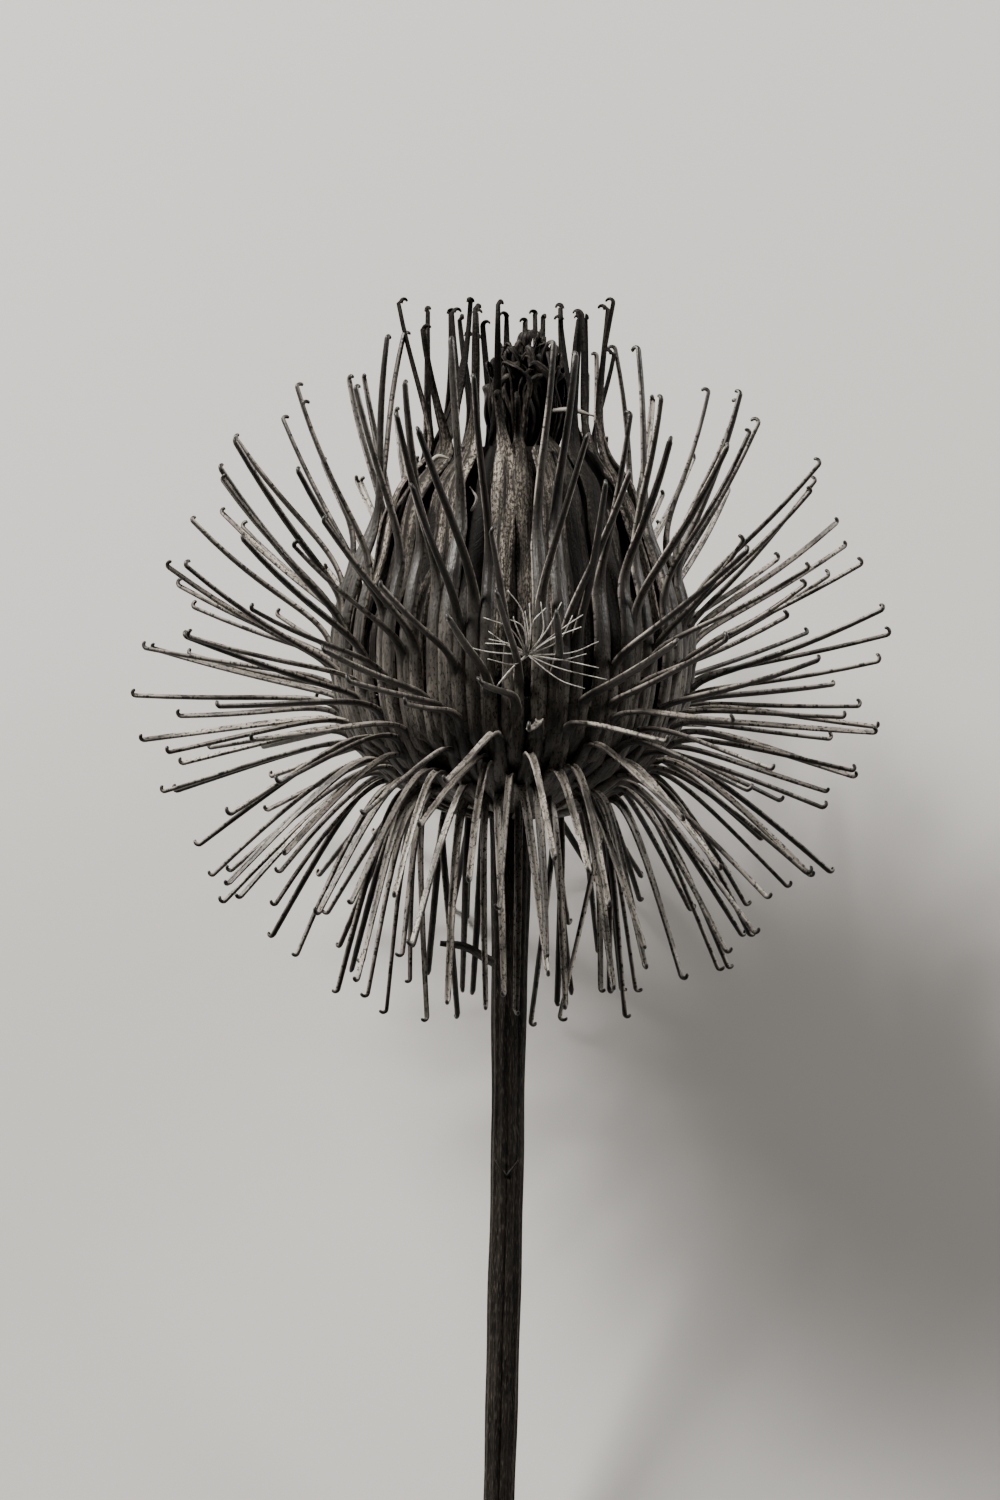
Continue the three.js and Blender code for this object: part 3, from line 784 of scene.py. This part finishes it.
def inner_bract(growth, index, draw, whim):
    """Every second bract stands nearer the seeds, behind the edges of its neighbours."""
    nearer = index % 2
    bearing = (index + INNER_VARIES["bearing"] * draw.wobble()) * 2 * math.pi / INNER_COUNT
    splay = draw()
    top = INNER_TOP - INNER_VARIES["top"] * draw() * draw() - INNER_VARIES["nearer_top"] * nearer * draw()
    if abs(bearing - LOW_SIDE) < LOW_WITHIN:
        top = LOW_TOP + INNER_VARIES["low_top"] * whim()
    lean = INNER_VARIES["lean"] * draw.wobble()
    twist = INNER_VARIES["twist"] * draw.wobble()
    out = INNER_OUT - NEARER_BY * nearer + INNER_VARIES["out"] * draw.wobble()
    if nearer:
        set_back = NEARER_SET_BACK + INNER_VARIES["nearer_set_back"] * whim()
    else:
        set_back = INNER_VARIES["set_back"] * whim()
    stations = inner_stations(bearing, out, set_back, lean, splay, nearer, top)
    path = through(stations, INNER_STATION_STEPS)
    along = (path[-1] - path[-2]).normalized()
    inward = up_face(along, bearing)
    hook = hook_path(path[-1], along, inward, twist, INNER_HOOK_RADIUS, INNER_HOOK_SWEEP, INNER_HOOK_STEPS)

    ripple = 6.28 * whim()
    sizes = []
    for i in range(len(path)):
        at = i / INNER_STATION_STEPS
        sizes.append(inner_size(at, ripple))
        away = INNER_WAVE * math.sin(at * 2.1 + 2 * ripple) * smooth_step(at, 1, 3)
        path[i] = path[i] + polar(bearing, away, 0)
    for k in range(INNER_HOOK_STEPS):
        width = mix(*INNER_HOOK_WIDTHS, (k + 1) / INNER_HOOK_STEPS)
        sizes.append((width, width * 0.9))
    twirl = INNER_VARIES["twirl"] * whim.wobble()
    turns = [twirl * smooth_step(i / len(path), 0.3, 0.8) for i in range(len(sizes))]
    # The tone is partly chance and partly painted shade: bracts set back nearer the seeds get a lower tone,
    # which the finish paints darker.
    tone = whim() * (1 - 0.6 * nearer)
    growth.carry(path + hook, sizes, BLADE, -polar(bearing, 1, 0), tone, turns)


def inner_finish():
    finish = Finish("dry_inner_bract")
    tone, share = finish.kept("tone"), finish.kept("share")
    lengthwise = finish.strip_place(1.0, 0.05, 53.0)
    veins = finish.noise(lengthwise, 10.0, 3.0)
    broad = finish.noise(lengthwise, 2.6, 3.0)
    mottle = finish.noise(finish.strip_place(8.0, 4.0, 1.0), 1.0, 2.0, 0.7)
    stain = finish.noise(finish.room(), 230.0, 3.0)
    edge = finish.math("ABSOLUTE", finish.kept("across"))
    dark = grey_brown(0.003, 0.0023, 0.0018)
    middle = grey_brown(0.012, 0.0098, 0.0078)
    pale = grey_brown(0.31, 0.275, 0.23)
    colour = finish.blend(finish.spread(broad, 0.36, 0.60), middle, pale)
    colour = finish.blend(finish.spread(veins, 0.48, 0.60, 0.0, 0.85), colour, middle)
    colour = finish.blend(finish.spread(mottle, 0.46, 0.56, 0.0, 0.88), colour, middle)
    colour = finish.blend(finish.spread(edge, 0.6, 0.85, 0.0, 0.8), colour, dark)
    colour = finish.blend(finish.spread(stain, 0.52, 0.66, 0.0, 0.8), colour, dark)
    # A low tone darkens the surface. This is partly chance from blade to blade and partly painted shade on
    # the set-back blades and the cup's core.
    colour = finish.blend(finish.spread(tone, 0.0, 0.6, 0.8, 0.0), colour, middle)
    colour = finish.blend(finish.spread(tone, 0.0, 0.15, 0.8, 0.0), colour, dark)
    colour = finish.blend(finish.spread(share, 0.60, 0.74, 0.0, 0.88), colour, dark)
    finish.use("Base Color", colour)
    finish.use("Roughness", finish.spread(veins, 0.35, 0.65, 0.7, 0.56))
    finish.use("Specular IOR Level", 0.1)
    finish.use("Normal", finish.bump(finish.math("ADD", veins, mottle), 0.5, 0.00012))
    return finish.material


def cup_ripple(bearing, height):
    return 0.14 * math.cos(27 * bearing) + 0.07 * math.sin(61 * bearing + 0.7 * height)


inner = Growth()
draw_inner = Draw(INNER_SEED)
whim_inner = Draw(INNER_SEED + 7)
for number in range(INNER_COUNT):
    inner_bract(inner, number, draw_inner, whim_inner)
cup_foot = COLLAR + 0.1
cup = [(AXIS_HOLE, cup_foot)]
for height in (cup_foot, -0.5, 1.4, 3.2, 4.8, 6.4, 8, 9.2, 10.2, 11.4, MOUTH):
    cup.append((inner_radius(height) - CUP_UNDER, height))
cup.append((AXIS_HOLE, MOUTH))
# Painted shade: the core gets tone 0, which the finish paints nearly black, so the gaps between the blades
# look shaded.
inner.turn_solid(cup, BODY_SIDES, 0.0, cup_ripple)
blades = inner.make("inner_blades", inner_finish())
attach(blades, "root")
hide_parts("inner_bracts")


# ---- Withered florets ---------------------------------------------------------------------------
# What is left of the purple florets: a dense tuft of brown, shrivelled tubes and threads that stands in
# the mouth of the head, curled over each other.
TUFT_ACROSS = 0.7
TUFT_ROOT = 12.5
TUFT_TOP = 18.7
TUFT_RIM = 16.6
TUFT_RADII = (1.9, 2.3, 2.4, 2.35, 2.0)  # of its outermost florets, from their roots up
TUFT_SEED = BRACT_SEED + 2
TUFT_COUNT = 110
LOBED = [(0.0, 0.1), (0.35, 0.5), (0.5, 0.3), (0.4, -0.2)]
LOBED += [(0.0, -0.5), (-0.4, -0.2), (-0.5, 0.3), (-0.35, 0.5)]
FLORET_SIZES = (0.26, 0.5)
FLORET_SWELLS = 0.45  # past its middle, as a share, before it closes
FLORET_CLOSES = 1.15
FLORET_TOP_VARIES = 1.7
FLORET_SPIN = 3.0


def floret(growth, index, draw):
    """One withered floret: a thin tube that swells, curls over at the end and closes."""
    bearing = index * GOLDEN_ANGLE
    spread = math.sqrt((index + 0.5) / TUFT_COUNT)
    top = mix(TUFT_TOP, TUFT_RIM, spread * spread) + FLORET_TOP_VARIES * draw.wobble()
    curl = 0.2 + 0.7 * draw()
    spin = FLORET_SPIN * draw.wobble()
    lower, upper = mix(TUFT_ROOT, top, 0.45), mix(TUFT_ROOT, top, 0.8)
    radii = [radius * spread for radius in TUFT_RADII]
    stations = [
        polar(bearing, radii[0], TUFT_ROOT),
        polar(bearing + 0.1, radii[1] + 0.15 * draw(), lower),
        polar(bearing + 0.4 * draw.wobble(), radii[2] + 0.35 * draw.wobble(), upper),
        polar(bearing + 0.25 * spin, radii[3] + 0.5 * draw.wobble(), top),
        polar(bearing + 0.5 * spin, radii[4] + 0.5 * curl * draw.wobble(), top - 0.35 * curl),
    ]
    path = [p + Vector((TUFT_ACROSS, 0, 0)) for p in through(stations, 5)]
    size = mix(*FLORET_SIZES, draw())
    sizes = []
    for i in range(len(path)):
        t = i / (len(path) - 1)
        swell = 1 + FLORET_SWELLS * smooth_step(t, 0.35, 0.6) - FLORET_CLOSES * smooth_step(t, 0.65, 1.0)
        sizes.append((size * swell, size * swell * (0.42 + 0.2 * math.sin(9 * t + spin))))
    turns = [2 * spin * i / len(path) for i in range(len(path))]
    growth.carry(path, sizes, LOBED, -polar(bearing, 1, 0), draw(), turns)


def floret_finish():
    finish = Finish("withered_floret")
    fibres = finish.noise(finish.strip_place(1.0, 0.2, 31.0), 9.0, 3.0)
    lumps = finish.noise(finish.room(), 1800.0, 3.0)
    dark = grey_brown(0.004, 0.003, 0.0023)
    middle = grey_brown(0.013, 0.01, 0.0078)
    pale = grey_brown(0.105, 0.086, 0.07)
    colour = finish.blend(finish.spread(lumps, 0.4, 0.62), dark, middle)
    colour = finish.blend(finish.spread(fibres, 0.52, 0.68, 0.0, 0.8), colour, pale)
    colour = finish.blend(finish.spread(finish.kept("tone"), 0.0, 1.0, 0.7, 0.0), colour, dark)
    finish.use("Base Color", colour)
    finish.use("Roughness", finish.spread(lumps, 0.3, 0.7, 0.75, 0.5))
    finish.use("Specular IOR Level", 0.2)
    finish.use("Normal", finish.bump(finish.math("ADD", fibres, lumps), 0.6, 0.0001))
    return finish.material


tuft = Growth()
draw_tuft = Draw(TUFT_SEED)
for number in range(TUFT_COUNT):
    floret(tuft, number, draw_tuft)
florets = tuft.make("florets", floret_finish())
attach(florets, "root")
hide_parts("floret_tuft")


# ---- Loose seed down ----------------------------------------------------------------------------
# The down of one shed seed, a little fan of stiff pale bristles, has caught on the bracts. Three curved
# scraps of chaff lie among the inner bracts and the florets.
DOWN_ROOT = Vector((0.8, -12.0, 0.1))
BRISTLE_COUNT = 22
FAN_START = math.radians(-32)
FAN_END = math.radians(192)
BRISTLE = [(-0.5, 0.4), (0.0, -0.6), (0.5, 0.4)]
BRISTLE_LENGTH = 2.2
BRISTLE_LONGER = 2.4  # what chance adds at most
BRISTLE_LONGER_RIGHT = 1.1
BRISTLE_BOW = 1.1
BRISTLE_FORWARD = (0.16, 0.34)  # how far it leans towards the viewer at least, and what chance adds
BRISTLE_WIDTHS = (0.085, 0.05)
BEAK_WIDTHS = (0.16, 0.07)


def tapered(path, thick, thin):
    """Round sizes that shrink evenly along a path."""
    return [(mix(thick, thin, i / len(path)),) * 2 for i in range(len(path))]


def add_down(growth, root, draw):
    """A fan of bristles round the seed's broken beak."""
    for k in range(BRISTLE_COUNT):
        heading = mix(FAN_START, FAN_END, (k + 0.5) / BRISTLE_COUNT) + 0.16 * draw.wobble()
        length = BRISTLE_LENGTH + BRISTLE_LONGER_RIGHT * max(math.cos(heading), 0)
        length += BRISTLE_LONGER * draw() * draw()
        forward = BRISTLE_FORWARD[0] + BRISTLE_FORWARD[1] * draw()
        away = Vector((math.cos(heading), -forward, math.sin(heading)))
        bow = Vector((draw.wobble(), -0.3 * draw(), draw.wobble())) * BRISTLE_BOW
        path = through([root, root + away * (0.5 * length) + bow, root + away * length], 5)
        tone = mix(0.4, 1.0, draw())
        growth.carry(path, tapered(path, *BRISTLE_WIDTHS), BRISTLE, Vector((0, 1, 0)), tone)
    beak = through([root, root + Vector((-0.9, 0.1, -0.8)), root + Vector((-1.9, 0.2, -2.0))], 5)
    growth.carry(beak, tapered(beak, *BEAK_WIDTHS), BRISTLE, Vector((0, 1, 0)), 0.6)


def add_chaff(growth, places, width, tone):
    """A scrap of chaff: a short keeled strip through these places, thinner at its ends."""
    path = through([Vector(place) for place in places], 6)
    sizes = []
    for i in range(len(path)):
        t = i / (len(path) - 1)
        thin = 0.35 + 0.65 * math.sin(math.pi * min(t + 0.15, 1)) ** 0.5
        sizes.append((width * thin, 0.45 * width * thin))
    growth.carry(path, sizes, KEELED, Vector((0, 1, 0)), tone)


def down_finish():
    finish = Finish("seed_down")
    specks = finish.noise(finish.room(), 5000.0, 2.0)
    tone = finish.kept("tone")
    dull = grey_brown(0.27, 0.25, 0.22)
    bright = grey_brown(0.68, 0.65, 0.60)
    straw = grey_brown(0.13, 0.11, 0.085)
    colour = finish.blend(finish.spread(specks, 0.35, 0.6), dull, bright)
    colour = finish.blend(finish.spread(tone, 0.0, 1.0, 0.6, 0.0), colour, dull)
    colour = finish.blend(finish.spread(tone, 0.0, 0.4, 0.9, 0.0), colour, straw)
    finish.use("Base Color", colour)
    finish.use("Roughness", finish.spread(specks, 0.3, 0.7, 0.45, 0.6))
    return finish.material


loose = Growth()
add_down(loose, DOWN_ROOT, Draw(BRACT_SEED + 3))
add_chaff(loose, [(2.0, -2.0, 14.5), (3.3, -2.4, 14.55), (4.6, -2.5, 14.2)], 0.34, 0.1)
add_chaff(loose, [(-5.1, -4.6, 11.0), (-4.5, -5.1, 11.6), (-3.8, -5.2, 11.5)], 0.3, 0.15)
add_chaff(loose, [(-2.5, -7.5, 8.4), (-2.2, -7.8, 9.1), (-2.6, -7.5, 9.8)], 0.16, 0.2)
down = loose.make("seed_down", down_finish())
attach(down, "root")


# ---- Table and light ----------------------------------------------------------------------------
# A plain pale table top under soft studio light: a large lamp high on the left, a weaker one on the
# right, a faint one in front, and a pale room all round.
TABLE_HALF = 1.5
TABLE_CORNERS = [(-TABLE_HALF, -TABLE_HALF, 0), (TABLE_HALF, -TABLE_HALF, 0)]
TABLE_CORNERS += [(TABLE_HALF, TABLE_HALF, 0), (-TABLE_HALF, TABLE_HALF, 0)]
ROOM_COLOUR = (0.95, 0.93, 0.9, 1)
ROOM_STRENGTH = 0.045


def table_finish():
    finish = Finish("pale_table")
    clouds = finish.noise(finish.room(), 3.0, 3.0)
    grain = finish.noise(finish.room(), 900.0, 2.0)
    dull = grey_brown(0.50, 0.485, 0.465)
    clear = grey_brown(0.55, 0.535, 0.515)
    finish.use("Base Color", finish.blend(finish.spread(clouds, 0.3, 0.7), dull, clear))
    finish.use("Roughness", 0.8)
    finish.use("Normal", finish.bump(grain, 0.05, 0.0001))
    return finish.material


table_mesh = bpy.data.meshes.new("table_top")
table_mesh.from_pydata(TABLE_CORNERS, [], [(0, 1, 2, 3)])
table_mesh.materials.append(table_finish())
table_top = bpy.data.objects.new("table_top", table_mesh)
bpy.context.collection.objects.link(table_top)


def lamp(name, place, watts, size, tint):
    """A square soft lamp at a place given in millimetres in the upright bur's frame, aimed at its head."""
    data = bpy.data.lights.new(name, "AREA")
    data.energy = watts
    data.size = size
    data.color = tint
    made = bpy.data.objects.new(name, data)
    made.location = lay_down(Vector(place))
    aim = lay_down(Vector((0, 0, 0))) - made.location
    made.rotation_mode = "QUATERNION"
    made.rotation_quaternion = aim.to_track_quat("-Z", "Y")
    bpy.context.collection.objects.link(made)


lamp("key_lamp", (-320, -150, 400), 9.0, 0.16, (1.0, 0.97, 0.93))
lamp("right_lamp", (400, -60, 240), 2.2, 0.14, (1.0, 0.97, 0.94))
lamp("front_lamp", (60, -520, 160), 0.1, 0.25, (1.0, 0.97, 0.94))
world = bpy.data.worlds.new("studio")
world.use_nodes = True
world.node_tree.nodes["Background"].inputs["Color"].default_value = ROOM_COLOUR
world.node_tree.nodes["Background"].inputs["Strength"].default_value = ROOM_STRENGTH
bpy.context.scene.world = world
